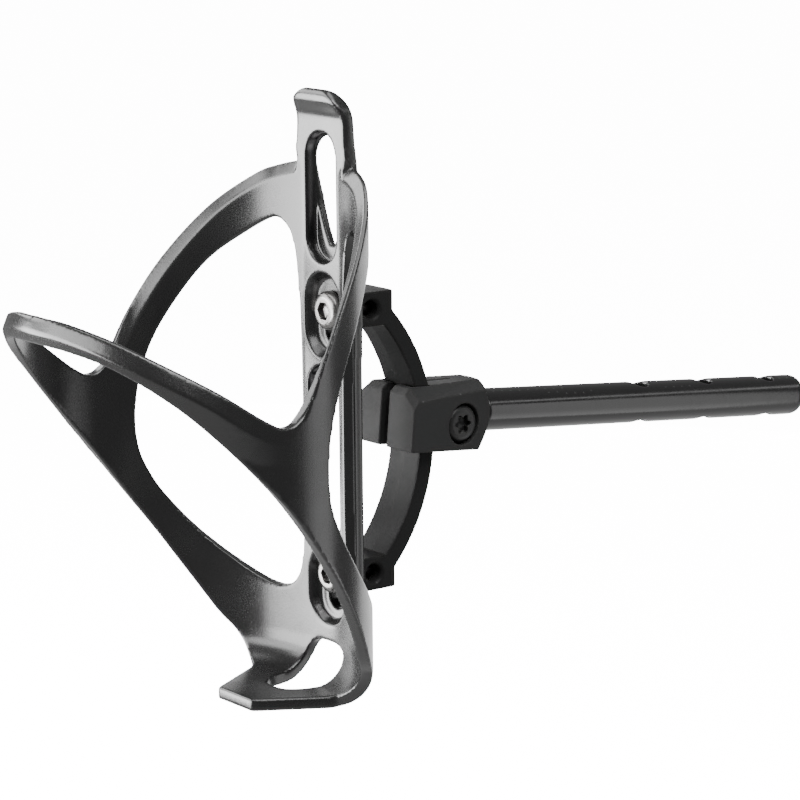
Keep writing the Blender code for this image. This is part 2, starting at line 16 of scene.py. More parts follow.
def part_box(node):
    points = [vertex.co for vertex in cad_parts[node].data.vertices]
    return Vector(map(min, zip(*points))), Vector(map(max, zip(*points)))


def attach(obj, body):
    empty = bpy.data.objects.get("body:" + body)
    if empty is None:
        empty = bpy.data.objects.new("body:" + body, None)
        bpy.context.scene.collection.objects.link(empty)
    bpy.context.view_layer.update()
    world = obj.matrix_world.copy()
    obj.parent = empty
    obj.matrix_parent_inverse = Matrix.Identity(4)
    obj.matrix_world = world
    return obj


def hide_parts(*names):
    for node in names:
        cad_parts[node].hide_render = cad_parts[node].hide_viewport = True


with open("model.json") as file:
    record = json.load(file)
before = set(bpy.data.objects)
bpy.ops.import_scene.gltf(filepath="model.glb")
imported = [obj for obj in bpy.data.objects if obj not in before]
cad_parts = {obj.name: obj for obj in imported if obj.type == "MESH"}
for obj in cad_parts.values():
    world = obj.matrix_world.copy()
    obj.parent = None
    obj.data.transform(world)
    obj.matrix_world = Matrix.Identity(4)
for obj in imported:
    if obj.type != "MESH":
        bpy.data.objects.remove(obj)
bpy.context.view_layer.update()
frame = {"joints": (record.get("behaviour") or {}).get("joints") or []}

# Lengths are in metres, except where a comment says that an outline's points are in millimetres.
MM = 0.001
ROUND_SEGMENTS = 96
FIT_GAP = 0.0003
CUTTER_REACH = 0.0200
OVERCUT = 0.0010
BOX_MARGIN = 0.00002
MERGE = 1e-6
CUT_MERGE = MERGE / 10.0

# The layout's origin is on the bottle's axis, midway between the cage bolts.
ARC_CENTRE_Y = 0.0204
TILT_AXIS = Vector(frame["joints"][0]["pos_m"])
LAYOUT = TILT_AXIS - Vector((0.0, ARC_CENTRE_Y, 0.0))


def layout_box(node):
    """Corners of a frame node's box, measured in the layout."""
    return [Vector(corner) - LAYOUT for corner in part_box(node)]


# Cage sheet.
CAGE_LOW, CAGE_HIGH = layout_box("cage_body")
SHEET_THICKNESS = 0.0030
SHEET_INNER_R = CAGE_HIGH.x - SHEET_THICKNESS
BEND_R = 0.0080
FLOOR_Z = CAGE_LOW.z + SHEET_THICKNESS + BOX_MARGIN
BEND_TOP_Z = FLOOR_Z + BEND_R
BEND_STEPS = 16
COLUMN_DEG = 2.0
HOOP_INSET = 0.0008
HOOP_INSET_START = math.radians(105.0)
HOOP_INSET_SPREAD = math.radians(45.0)
CAGE_VOXEL = 0.00036
CAGE_PASSES = 1
RIM_PASSES = 8
SHEET_TOP_BEHIND_SPINE = 0.0580

# Hoop crease outside, and the bevelled upper rim inside the two upper arms.
SHEET_MARGIN = 0.3
CREASE_START = math.radians(88.0)
CREASE_SPREAD = math.radians(30.0)
CREASE_BELOW_EDGE = 0.0031
CREASE_LEAN_UP = 0.42
CREASE_LEAN_DOWN = 0.36
CREASE_MOST = 0.0018
RIM_WIDTH = 0.0026
RIM_LEAN = 0.80
RIM_TREE_STEPS = 24
RIM_END = math.radians(74.0)
RIM_SPREAD = math.radians(12.0)

# Outlines on the sheet: (degrees round from the spine, millimetres up the sheet).
EDGE_STEPS = 10
WINDOW_STEPS = 8
BEND_HOLE_STEPS = 6
UPPER_EDGE = [
    (14.0, 66.8), (23.0, 65.3), (32.0, 62.8), (48.0, 54.9), (64.0, 42.6), (76.0, 30.0), (84.5, 19.2),
    (91.0, 15.9), (98.0, 17.8), (113.0, 24.8), (130.0, 31.1), (147.0, 36.1), (164.0, 39.0), (180.0, 39.6),
]
LOWER_EDGE = [
    (180.0, 33.6), (165.0, 33.2), (149.0, 30.8), (133.0, 25.2), (117.0, 16.4), (95.0, 0.4),
    (74.0, -18.8), (59.0, -33.5), (48.0, -44.0), (41.6, -48.7), (38.2, -51.5), (35.0, -54.8),
]
WINDOW_EDGE = [
    (24.5, 52.8), (36.0, 48.4), (49.0, 41.6), (61.0, 31.2), (69.5, 21.0), (74.3, 9.5), (74.3, -2.0),
    (69.0, -11.0), (60.0, -19.5), (50.0, -26.6), (37.0, -33.3), (26.0, -36.9), (18.5, -36.2),
    (14.0, -31.5), (12.6, -22.0), (12.2, 0.0), (12.6, 24.0), (13.6, 39.0), (15.5, 47.5), (18.8, 51.6),
]
BEND_HOLE_EDGE = [
    (0.0, -48.5), (5.5, -48.7), (9.2, -50.0), (11.0, -53.0), (12.2, -57.5), (13.4, -61.5),
    (13.0, -65.0), (9.0, -68.2), (0.0, -69.3),
]
FOOT_FRONT = Vector((0.0068, 0.0116))
FOOT_SHOULDER = Vector((0.0078, 0.0128))
FOOT_BACK = Vector((0.0172, 0.0286))
FOOT_STEPS = 12

# Spine. In millimetres, SPINE_OUTLINE and TEAR_EDGE are (x, z) and the foot and hook points are (y, z).
SPINE_FRONT_Y = 0.0385
SPINE_BACK_Y = 0.0443
SPINE_CURVE_STEPS = 4
SPINE_OUTLINE = [
    (8.2, -48.0), (8.2, 20.0), (9.0, 36.0), (10.4, 50.0), (10.4, 66.8), (9.6, 72.0), (9.5, 76.0),
]
SPINE_FOOT_FRONT = [(39.4, -48.0), (38.5, -23.0)]
SPINE_FOOT_BACK = [(44.3, -45.2), (41.8, -48.0)]
HOOK_CORNER_R = 0.0070
HOOK_CORNER_STEPS = 12
HOOK_TOP_Z = CAGE_HIGH.z
HOOK_SOFT_FROM_Z = 0.0700
HOOK_SOFT_SPREAD = 0.0080
HOOK_PASSES = 30
HOOK_TIP = [
    (38.5, 76.6), (38.1, 78.6), (36.9, 80.8), (36.2, 82.4), (36.7, 84.2), (37.9, 84.6), (39.3, 84.0),
]
HOOK_BACK = [
    (40.6, 82.2), (41.6, 79.6), (42.0, 76.0), (42.1, 66.0), (43.6, 59.0), (43.6, 44.0), (44.3, 41.0),
]
RECESS_HALF_WIDTH = 0.0070
RECESS_TAPER = 0.0016
RECESS_FLOOR_Y = 0.0415
RECESS_SPAN_Z = [(0.0206, 0.0414), (-0.0447, -0.0255)]
SLOT_HALF_WIDTH = 0.0028
SLOT_SPAN_Z = [(0.0240, 0.0350), (-0.0407, -0.0290)]
WINDOW_HALF_WIDTH = 0.0061
WINDOW_SPAN_Z = (-0.0239, 0.0191)
TEAR_HALF_WIDTH = 0.0059
TEAR_SPAN_Z = (0.0434, 0.0744)
TEAR_FLOOR_Y = 0.0415
TEAR_TOP_Z = 0.0731
TEAR_EDGE = [(5.7, 62.5), (5.3, 58.5), (4.1, 54.5), (2.5, 50.5), (0.9, 47.4)]

# Bolts.
BOLT_SPACING = 0.0640
BOLT_SHANK_R = 0.0024
BOLT_HOLE_R = 0.0027
BOLT_HEAD_R = 0.0047
HEAD_RIM = 0.0005
HEAD_FLAT = 0.0006
DOME_STEPS = 12
CAGE_SHANK_LENGTH = 0.0124
SOCKET_SIDES = 6
SOCKET_DEPTH_SHARE = 0.7
SOCKET_POINT_SHARE = 0.3
HEX_SOCKET_R = 0.0023
LOBE_SOCKET_R = 0.0024
LOBE_DEPTH = 0.0004
STEPS_PER_LOBE = 16
BOLT_VOXEL = 0.00012
BOLT_PASSES = 2

# Arc bracket.
ARC_LOW, ARC_HIGH = layout_box("arc_bracket")
ARC_OUTER_R = ARC_HIGH.y - ARC_CENTRE_Y
ARC_DEPTH = 0.0044
ARC_INNER_R = ARC_OUTER_R - ARC_DEPTH
ARC_HALF_WIDTH = ARC_HIGH.x
ARC_HALF_DEG = 42.5
ARC_STEPS = 96
ARC_VEE = 0.0003
BLOCK_FRONT_Y = ARC_LOW.y
BLOCK_BACK_Y = 0.0556
BLOCK_SPAN_Z = (0.0280, ARC_HIGH.z)
BLOCK_CORNER_R = 0.0017
BLOCK_CORNER_STEPS = 8
SIDE_HOLE_Y = 0.0487
SIDE_HOLE_R = 0.0021
SIDE_HOLE_MOUTH_R = 0.0028
THREAD_DEPTH = 0.0096
BRACKET_VOXEL = 0.00024
BRACKET_PASSES = 7

# Clamp and rod: distances along the rod's own axis start at the clamp's middle.
ROD_PITCH_DEG = 5.18
CLAMP_MIDDLE_Y = 0.0720
ROD_HEIGHT = 0.0036
CLAMP_BOLT_DROP = 0.0018
CLAMP_BOLT_ALONG = 0.0020
CLAMP_FRONT = -0.0155
CLAMP_FRONT_BEVEL = 0.0015
CLAMP_END = 0.0124
CLAMP_FRONT_HALF_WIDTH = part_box("clamp_block")[1][0]
CLAMP_TAPER = 0.15
CLAMP_BOTTOM = -0.0077
CLAMP_BOTTOM_SLOPE = -0.032
CLAMP_EDGE_TOP = 0.0043
CLAMP_TOP_SLOPE = 0.080
CLAMP_CROWN_RISE = 0.0030
CLAMP_CROWN_SLOPE = -0.040
CLAMP_CROWN_INSET = 0.0040
NOSE_R = 0.0057
NOSE_START = 0.0014
NOSE_START_R = 0.0200
JAW_SLIT = 0.0030
BACK_SLIT = 0.0010
BACK_SLIT_END = 0.0037
POCKET_HALF_DEG = 30.0
CLAMP_RECESS_R = 0.0051
CLAMP_RECESS_FLOOR_X = 0.0061
CLAMP_HEAD_TOP_X = 0.0086
CLAMP_BOLT_TIP_X = -0.0075
CLAMP_BORE_END_X = -0.0081
CLAMP_VOXEL = 0.00020
CLAMP_PASSES = 5
ROD_R = 0.00525
ROD_EDGE_R = 0.0030
ROD_EDGE_STEPS = 12
SPIGOT_R = 0.0045
SPIGOT_LENGTH = 0.0055
ROD_LENGTH = 0.1084
ROD_HOLE_R = 0.0027
ROD_HOLE_PITCH = 0.0220
ROD_HOLE_FIRST = 0.0120
ROD_HOLES = 3
ROD_VOXEL = 0.00025
ROD_PASSES = 20

# Camera.
CAMERA_AZIMUTH = math.radians(52.97)
CAMERA_ELEVATION = math.radians(11.36)
CAMERA_ROLL = math.radians(0.513)
CAMERA_AT = LAYOUT + Vector((0.6098, -0.3987, 0.1613))
CAMERA_LENS = 145.6

# Surfaces: noise scales are in cycles per metre.
NOISE_LOW = 0.3
NOISE_HIGH = 0.7
GLOSS_SCALE = 90.0
GLOSS_DETAIL = 3.0
GRAIN_DETAIL = 2.0
GRAIN_GLOSS = 0.03
# Painted edge highlight: the pointiness range over which sharp convex edges turn paler, and how far towards
# the paler grey.
EDGE_HIGHLIGHT_START = 0.54
EDGE_HIGHLIGHT_FULL = 0.64
EDGE_HIGHLIGHT_MOST = 0.6
STEEL_STAIN_SCALE = 400.0
STEEL_GRAIN_SCALE = 4000.0
STEEL_GRAIN_DEPTH = 0.000006
STEEL_DARK = (0.13, 0.127, 0.124)
STEEL_LIGHT = (0.21, 0.206, 0.202)
STEEL_ROUGHNESS = (0.22, 0.36)

# Light. A softbox is a name, its azimuth (0 at -Y, growing towards +X) and height in degrees, its distance,
# its width and height, its radiance, and the place in the layout that it faces.
CAGE_MIDDLE = (0.0, 0.03, 0.0)
ROD_MIDDLE = (0.0, 0.14, 0.0)
BELOW_ROD_END = (0.0, 0.20, -0.03)
SOFTBOXES = [
    ("left_front", (-31.0, -3.0), 0.75, (0.92, 0.50), 23.0, CAGE_MIDDLE),
    ("front_strip", (-12.0, 26.0), 0.75, (0.66, 0.24), 12.0, CAGE_MIDDLE),
    ("left_high", (-66.0, 32.0), 0.75, (0.66, 0.28), 8.0, CAGE_MIDDLE),
    ("right_key", (85.0, 52.0), 0.80, (0.50, 0.50), 12.0, CAGE_MIDDLE),
    ("overhead", (0.0, 90.0), 0.90, (0.80, 0.80), 5.0, CAGE_MIDDLE),
    ("rod_strip", (133.0, 31.0), 0.60, (0.70, 0.06), 3.0, ROD_MIDDLE),
    ("rod_side", (120.0, -8.0), 0.30, (0.17, 0.42), 2.2, BELOW_ROD_END),
    ("background_low", (215.0, -16.0), 0.90, (0.90, 0.35), 2.0, CAGE_MIDDLE),
    ("background_foot", (240.0, 8.0), 0.42, (0.20, 0.10), 1.5, CAGE_MIDDLE),
]
WHITE = 14.0
WORLD_ABOVE = 0.30
WORLD_BELOW = 1.2
WORLD_TURN = (-0.30, -0.55)
FLOOR_DROP = 0.12
FLOOR_REACH = 6.0
FLOOR_PARTS = 4
FLOOR_GREY = 0.9


# ---------------------------------------------------------------- geometry helpers


def new_object(name, bm):
    """Turn a finished bmesh into a scene object with outward faces."""
    bmesh.ops.recalc_face_normals(bm, faces=bm.faces)
    mesh = bpy.data.meshes.new(name)
    bm.to_mesh(mesh)
    bm.free()
    obj = bpy.data.objects.new(name, mesh)
    bpy.context.scene.collection.objects.link(obj)
    return obj


def bridge(bm, ring, following):
    count = len(ring)
    for i in range(count):
        bm.faces.new((ring[i], ring[(i + 1) % count], following[(i + 1) % count], following[i]))


def loft(name, loops):
    """Closed body through loops that have the same number of places."""
    bm = bmesh.new()
    rings = [[bm.verts.new(place) for place in loop] for loop in loops]
    for ring, following in zip(rings, rings[1:]):
        bridge(bm, ring, following)
    bm.faces.new(rings[0])
    bm.faces.new(rings[-1])
    return new_object(name, bm)


def prism(name, outline, axis, low, high):
    """Extrude a closed outline along X, Y or Z; the outline is in the other two axes, in XYZ order."""
    index = "XYZ".index(axis)
    loops = []
    for level in (low, high):
        loops.append([(*place[:index], level, *place[index:]) for place in outline])
    return loft(name, loops)


def lathe(name, profile, frame_matrix):
    """Turn a profile of (radius, distance along) about local Z; it starts and ends on the axis."""
    bm = bmesh.new()
    tips = [bm.verts.new(frame_matrix @ Vector((0.0, 0.0, profile[i][1]))) for i in (0, -1)]
    rings = []
    for radius, along in profile[1:-1]:
        ring = []
        for i in range(ROUND_SEGMENTS):
            turn = 2.0 * math.pi * i / ROUND_SEGMENTS
            place = Vector((radius * math.cos(turn), radius * math.sin(turn), along))
            ring.append(bm.verts.new(frame_matrix @ place))
        rings.append(ring)
    for ring, following in zip(rings, rings[1:]):
        bridge(bm, ring, following)
    for tip, ring in zip(tips, (rings[0], rings[-1])):
        for i in range(ROUND_SEGMENTS):
            bm.faces.new((tip, ring[i], ring[(i + 1) % ROUND_SEGMENTS]))
    return new_object(name, bm)


def bake_modifiers(obj):
    """Replace an object's mesh with what its modifiers make of it."""
    evaluated = obj.evaluated_get(bpy.context.evaluated_depsgraph_get())
    mesh = bpy.data.meshes.new_from_object(evaluated)
    obj.modifiers.clear()
    obj.data = mesh


def combine(target, tool, operation):
    modifier = target.modifiers.new(operation, "BOOLEAN")
    modifier.operation = operation
    modifier.solver = "EXACT"
    modifier.object = tool
    bake_modifiers(target)
    bpy.data.objects.remove(tool, do_unlink=True)


def frame_along(axis, origin):
    """Matrix whose local Z lies along the given direction."""
    return Matrix.Translation(origin) @ Vector(axis).to_track_quat("Z", "Y").to_matrix().to_4x4()


def smooth_curve(points, steps, closed):
    """Catmull-Rom curve through the points, with this many steps between each pair."""
    count = len(points)
    result = []
    for i in range(count if closed else count - 1):
        if closed:
            near = [Vector(points[(i + k) % count]) for k in (-1, 0, 1, 2)]
        else:
            near = [Vector(points[min(max(i + k, 0), count - 1)]) for k in (-1, 0, 1, 2)]
        for step in range(steps):
            t = step / steps
            a = 2.0 * near[1]
            b = near[2] - near[0]
            c = 2.0 * near[0] - 5.0 * near[1] + 4.0 * near[2] - near[3]
            d = -near[0] + 3.0 * near[1] - 3.0 * near[2] + near[3]
            result.append(0.5 * (a + b * t + c * t * t + d * t * t * t))
    if not closed:
        result.append(Vector(points[-1]))
    return result


def rounded_slot(half_width, span):
    """Outline of a slot with half-round ends, in x and z."""
    low, high = span
    outline = []
    for centre_z, start in ((high - half_width, 0.0), (low + half_width, math.pi)):
        for i in range(ROUND_SEGMENTS // 2 + 1):
            turn = start + 2.0 * math.pi * i / ROUND_SEGMENTS
            outline.append((half_width * math.cos(turn), centre_z + half_width * math.sin(turn)))
    return outline


def blend(x):
    """Smooth step from 0 to 1."""
    x = min(max(x, 0.0), 1.0)
    return x * x * (3.0 - 2.0 * x)


def smooth(obj, passes, group=""):
    """Relax a mesh; a vertex group's name limits it to that group."""
    modifier = obj.modifiers.new("smooth", "SMOOTH")
    modifier.factor = 0.5
    modifier.iterations = passes
    modifier.vertex_group = group
    bake_modifiers(obj)


def soften(obj, voxel, passes):
    """Remesh a piece finely and smooth it a little, which rounds its edges."""
    remesh = obj.modifiers.new("remesh", "REMESH")
    remesh.mode = "VOXEL"
    remesh.voxel_size = voxel
    bake_modifiers(obj)
    smooth(obj, passes)
    obj.data.shade_smooth()


def deliver(obj, material, node, body):
    """Move a finished piece from the layout into the frame, where it stands for one CAD node."""
    obj.data.transform(Matrix.Translation(LAYOUT))
    obj.data.materials.clear()
    obj.data.materials.append(material)
    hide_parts(node)
    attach(obj, body)


# ---------------------------------------------------------------- cage


def hoop_inset(turn):
    return HOOP_INSET * blend((turn - HOOP_INSET_START) / HOOP_INSET_SPREAD)


def upper_rim_tree():
    """Closely spaced places along the sheet's upper edge, in the flat."""
    curve = smooth_curve(UPPER_EDGE, RIM_TREE_STEPS, closed=False)
    tree = KDTree(len(curve))
    for i, point in enumerate(curve):
        tree.insert((math.radians(point.x) * SHEET_INNER_R, point.y * MM, 0.0), i)
    tree.balance()
    return tree


def shape_rims(cage):
    """Crease the hoop's outside, and bevel the inside of the upper arms' top rim."""
    tree = upper_rim_tree()
    for vert in cage.data.vertices:
        x, y, z = vert.co
        turn = math.atan2(abs(x), y)
        radius = math.hypot(x, y)
        share = (radius + hoop_inset(turn) - SHEET_INNER_R) / SHEET_THICKNESS
        near_sheet = -SHEET_MARGIN < share < 1.0 + SHEET_MARGIN
        if turn < math.radians(UPPER_EDGE[0][0]) or z < 0.0 or not near_sheet:
            continue
        share = min(max(share, 0.0), 1.0)
        rim, _, distance = tree.find((turn * SHEET_INNER_R, z, 0.0))
        above = z - (rim.y - CREASE_BELOW_EDGE)
        lean = CREASE_LEAN_UP * above if above > 0.0 else -CREASE_LEAN_DOWN * above
        inwards = blend((turn - CREASE_START) / CREASE_SPREAD) * min(lean, CREASE_MOST) * share
        bevel = max(RIM_WIDTH - distance, 0.0) * RIM_LEAN * (1.0 - share)
        outwards = bevel * (1.0 - blend((turn - RIM_END) / RIM_SPREAD))
        grown = (radius - inwards + outwards) / radius
        vert.co = (x * grown, y * grown, z)


def sheet_point(turn, run, depth):
    """Point on the sheet: turn about the bottle, run up the sheet, depth outwards from its inner face."""
    past = BEND_TOP_Z - run
    if past <= 0.0:
        radius, z, out, down = SHEET_INNER_R, run, 1.0, 0.0
    elif past < BEND_R * math.pi / 2.0:
        out, down = math.cos(past / BEND_R), math.sin(past / BEND_R)
        radius = SHEET_INNER_R - BEND_R * (1.0 - out)
        z = BEND_TOP_Z - BEND_R * down
    else:
        radius = SHEET_INNER_R - BEND_R - (past - BEND_R * math.pi / 2.0)
        z, out, down = FLOOR_Z, 0.0, 1.0
    radius += depth * out - hoop_inset(turn)
    return Vector((radius * math.sin(turn), radius * math.cos(turn), z - depth * down))


def plan_to_sheet(place):
    """Turn a place seen from above, on the bend or the foot, into sheet coordinates."""
    radius = place.length
    inset = SHEET_INNER_R - radius
    if inset < BEND_R:
        past = BEND_R * math.acos(1.0 - inset / BEND_R)
    else:
        past = BEND_R * math.pi / 2.0 + inset - BEND_R
    return Vector((math.atan2(place.x, place.y), BEND_TOP_Z - past))


def sheet_outline(points, steps, closed):
    curve = smooth_curve(points, steps, closed)
    return [Vector((math.radians(point.x), point.y * MM)) for point in curve]


def half_sheet_loops():
    """Edges of the right half of the sheet in sheet coordinates: the outer loop and the side window."""
    outer = [Vector((0.0, SHEET_TOP_BEHIND_SPINE))]
    outer += sheet_outline(UPPER_EDGE, EDGE_STEPS, closed=False)
    outer += sheet_outline(LOWER_EDGE, EDGE_STEPS, closed=False)
    for i in range(FOOT_STEPS):
        outer.append(plan_to_sheet(FOOT_BACK.lerp(FOOT_SHOULDER, i / (FOOT_STEPS - 1))))
    for i in range(FOOT_STEPS + 1):
        outer.append(plan_to_sheet(Vector((FOOT_FRONT.x * (1.0 - i / FOOT_STEPS), FOOT_FRONT.y))))
    outer += reversed(sheet_outline(BEND_HOLE_EDGE, BEND_HOLE_STEPS, closed=False))
    return outer, sheet_outline(WINDOW_EDGE, WINDOW_STEPS, closed=True)


def cut_flat(bm, place, normal):
    geometry = list(bm.verts) + list(bm.edges) + list(bm.faces)
    bmesh.ops.bisect_plane(bm, geom=geometry, dist=CUT_MERGE, plane_co=place, plane_no=normal)


def flat_half_sheet():
    """Fill the half outline in the flat, true to size along the inner face, and cut it into columns."""
    bm = bmesh.new()
    edges = []
    for loop in half_sheet_loops():
        verts = [bm.verts.new((point.x * SHEET_INNER_R, point.y, 0.0)) for point in loop]
        for i, vert in enumerate(verts):
            edges.append(bm.edges.new((vert, verts[(i + 1) % len(verts)])))
    bmesh.ops.triangle_fill(bm, edges=edges, use_beauty=True)
    for i in range(1, round(180.0 / COLUMN_DEG)):
        cut_flat(bm, (math.radians(i * COLUMN_DEG) * SHEET_INNER_R, 0.0, 0.0), (1.0, 0.0, 0.0))
    for i in range(BEND_STEPS + 1):
        cut_flat(bm, (0.0, BEND_TOP_Z - BEND_R * math.pi / 2.0 * i / BEND_STEPS, 0.0), (0.0, 1.0, 0.0))
    bmesh.ops.triangulate(bm, faces=bm.faces)
    return bm


def build_sheet(name):
    """Wrap the flat half round the bottle, thicken it, and mirror it to the other side."""
    flat = flat_half_sheet()
    seam = (0.0, math.pi * SHEET_INNER_R)
    bm = bmesh.new()
    for side in (1.0, -1.0):
        layers = []
        for depth in (0.0, SHEET_THICKNESS):
            layer = {}
            for vert in flat.verts:
                place = sheet_point(vert.co.x / SHEET_INNER_R, vert.co.y, depth)
                layer[vert] = bm.verts.new((place.x * side, place.y, place.z))
            layers.append(layer)
            for face in flat.faces:
                bm.faces.new([layer[vert] for vert in face.verts])
        for edge in flat.edges:
            a, b = edge.verts
            on_seam = any(abs(a.co.x - x) < MERGE and abs(b.co.x - x) < MERGE for x in seam)
            if edge.is_boundary and not on_seam:
                bm.faces.new((layers[0][a], layers[0][b], layers[1][b], layers[1][a]))
    flat.free()
    bmesh.ops.remove_doubles(bm, verts=bm.verts, dist=MERGE)
    return new_object(name, bm)


def hook_outline():
    """Front view of the spine: straight sides, then rounded upper corners."""
    right = [(x * MM, z * MM) for x, z in SPINE_OUTLINE]
    half_width = right[-1][0]
    for i in range(HOOK_CORNER_STEPS + 1):
        turn = math.pi / 2.0 * i / HOOK_CORNER_STEPS
        x = half_width - HOOK_CORNER_R * (1.0 - math.cos(turn))
        right.append((x, HOOK_TOP_Z + FIT_GAP - HOOK_CORNER_R * (1.0 - math.sin(turn))))
    return right + [(-x, z) for x, z in reversed(right)]


def build_spine(name):
    """Cross a front view with a side view; the bar's lower end runs out into the sheet."""
    spine = prism(name, hook_outline(), "Y", SPINE_FRONT_Y - CUTTER_REACH, SPINE_BACK_Y + CUTTER_REACH)
    side = [Vector(place) * MM for place in SPINE_FOOT_FRONT]
    side += [place * MM for place in smooth_curve(HOOK_TIP, SPINE_CURVE_STEPS, closed=False)]
    side += [Vector(place) * MM for place in HOOK_BACK + SPINE_FOOT_BACK]
    combine(spine, prism("spine_side", side, "X", -CUTTER_REACH, CUTTER_REACH), "INTERSECT")
    return spine


def tear_through_outline():
    """Outline of the opening under the hook: round at the top, narrowing to a point at the bottom."""
    edge = [(x * MM, z * MM) for x, z in smooth_curve(TEAR_EDGE, SPINE_CURVE_STEPS, closed=False)]
    radius = edge[0][0]
    outline = []
    for i in range(ROUND_SEGMENTS // 2 + 1):
        turn = 2.0 * math.pi * i / ROUND_SEGMENTS
        outline.append((radius * math.cos(turn), TEAR_TOP_Z - radius * (1.0 - math.sin(turn))))
    outline += [(-x, z) for x, z in edge]
    return outline + edge[::-1]


def recess_cutter(span):
    """Pocket round a cage bolt: a rounded slot that narrows towards its floor."""
    low, high = span
    front = rounded_slot(RECESS_HALF_WIDTH, span)
    floor = rounded_slot(RECESS_HALF_WIDTH - RECESS_TAPER, (low + RECESS_TAPER, high - RECESS_TAPER))
    levels = [(front, SPINE_FRONT_Y - CUTTER_REACH / 2.0), (front, SPINE_FRONT_Y), (floor, RECESS_FLOOR_Y)]
    return loft("recess", [[(x, y, z) for x, z in outline] for outline, y in levels])


def cut_spine_openings(cage):
    front = SPINE_FRONT_Y - CUTTER_REACH / 2.0
    behind = SPINE_BACK_Y + CUTTER_REACH / 2.0
    cuts = [(rounded_slot(TEAR_HALF_WIDTH, TEAR_SPAN_Z), TEAR_FLOOR_Y)]
    cuts.append((tear_through_outline(), behind))
    cuts.append((rounded_slot(WINDOW_HALF_WIDTH, WINDOW_SPAN_Z), behind))
    cuts += [(rounded_slot(SLOT_HALF_WIDTH, span), behind) for span in SLOT_SPAN_Z]
    for outline, depth_y in cuts:
        combine(cage, prism("opening", outline, "Y", front, depth_y), "DIFFERENCE")
    for span in RECESS_SPAN_Z:
        combine(cage, recess_cutter(span), "DIFFERENCE")


def round_hook(cage):
    """Round the hook's edges more than the rest, starting gently below it."""
    group = cage.vertex_groups.new(name="hook")
    for vert in cage.data.vertices:
        weight = blend((vert.co.z - HOOK_SOFT_FROM_Z) / HOOK_SOFT_SPREAD)
        if weight > 0.0:
            group.add([vert.index], weight, "REPLACE")
    smooth(cage, HOOK_PASSES, group.name)


def build_cage():
    """One moulding, remeshed finely so that its rims can be shaped and its edges rounded."""
    cage = build_sheet("cage_moulding")
    combine(cage, build_spine("spine"), "UNION")
    cut_spine_openings(cage)
    soften(cage, CAGE_VOXEL, CAGE_PASSES)
    shape_rims(cage)
    smooth(cage, RIM_PASSES)
    round_hook(cage)
    deliver(cage, cage_material(), "cage_body", "cradle")


# ---------------------------------------------------------------- bolts


def socket_outline(sides, radius, lobe):
    """Outline of a driver socket: a polygon, or a round with lobes when lobe is not zero."""
    if lobe == 0.0:
        turns = [2.0 * math.pi * i / sides for i in range(sides)]
        return [(radius * math.cos(turn), radius * math.sin(turn)) for turn in turns]
    outline = []
    steps = sides * STEPS_PER_LOBE
    for i in range(steps):
        turn = 2.0 * math.pi * i / steps
        reach = radius - lobe * (1.0 - math.cos(sides * turn))
        outline.append((reach * math.cos(turn), reach * math.sin(turn)))
    return outline


def domed_bolt(name, matrix, dome, shank_length, socket):
    """Bolt with a domed head whose flat top lies at the matrix's origin; local Z points out of the head."""
    flat_r = max(math.hypot(x, y) for x, y in socket) + HEAD_FLAT
    profile = [(0.0, -dome - shank_length), (BOLT_SHANK_R, -dome - shank_length), (BOLT_SHANK_R, -dome)]
    profile.append((BOLT_HEAD_R, -dome))
    for i in range(DOME_STEPS + 1):
        turn = math.pi / 2.0 * i / DOME_STEPS
        reach = flat_r + (BOLT_HEAD_R - flat_r) * math.cos(turn)
        profile.append((reach, (dome - HEAD_RIM) * (math.sin(turn) - 1.0)))
    profile.append((0.0, 0.0))
    bolt = lathe(name, profile, Matrix.Identity(4))
    floor = -dome * SOCKET_DEPTH_SHARE
    combine(bolt, prism("socket", socket, "Z", floor, OVERCUT), "DIFFERENCE")
    point_r = min(math.hypot(x, y) for x, y in socket) * math.cos(math.pi / SOCKET_SIDES)
    point = [(0.0, floor - dome * SOCKET_POINT_SHARE), (point_r, floor), (point_r, 0.0), (0.0, 0.0)]
    combine(bolt, lathe("socket_point", point, Matrix.Identity(4)), "DIFFERENCE")
    soften(bolt, BOLT_VOXEL, BOLT_PASSES)
    bolt.data.transform(matrix)
    return bolt


def build_cage_bolts():
    material = stainless_material()
    for place, z in (("upper", BOLT_SPACING / 2.0), ("lower", -BOLT_SPACING / 2.0)):
        matrix = frame_along((0.0, -1.0, 0.0), (0.0, SPINE_FRONT_Y + FIT_GAP, z))
        dome = RECESS_FLOOR_Y - SPINE_FRONT_Y - 2.0 * FIT_GAP
        socket = socket_outline(SOCKET_SIDES, HEX_SOCKET_R, 0.0)
        bolt = domed_bolt(place + "_cage_screw", matrix, dome, CAGE_SHANK_LENGTH, socket)
        deliver(bolt, material, "cage_bolt_" + place, "cradle")


def clamp_bolt_frame(x):
    origin = rod_frame() @ Vector((0.0, -CLAMP_BOLT_DROP, CLAMP_BOLT_ALONG))
    return frame_along((1.0, 0.0, 0.0), (x, origin.y, origin.z))


def build_clamp_bolt():
    dome = CLAMP_HEAD_TOP_X - CLAMP_RECESS_FLOOR_X - FIT_GAP
    shank = CLAMP_RECESS_FLOOR_X + FIT_GAP - CLAMP_BOLT_TIP_X
    socket = socket_outline(SOCKET_SIDES, LOBE_SOCKET_R, LOBE_DEPTH)
    bolt = domed_bolt("clamp_screw", clamp_bolt_frame(CLAMP_HEAD_TOP_X), dome, shank, socket)
    deliver(bolt, bolt_black_material(), "clamp_bolt", "holder")


# ---------------------------------------------------------------- arc bracket


def arc_outline(inner, outer, half_deg):
    """Ring segment about the arc's centre, in y and z."""
    outline = []
    for radius, direction in ((outer, 1.0), (inner, -1.0)):
        for i in range(ARC_STEPS + 1):
            turn = math.radians(half_deg) * direction * (2.0 * i / ARC_STEPS - 1.0)
            outline.append((ARC_CENTRE_Y + radius * math.cos(turn), radius * math.sin(turn)))
    return outline


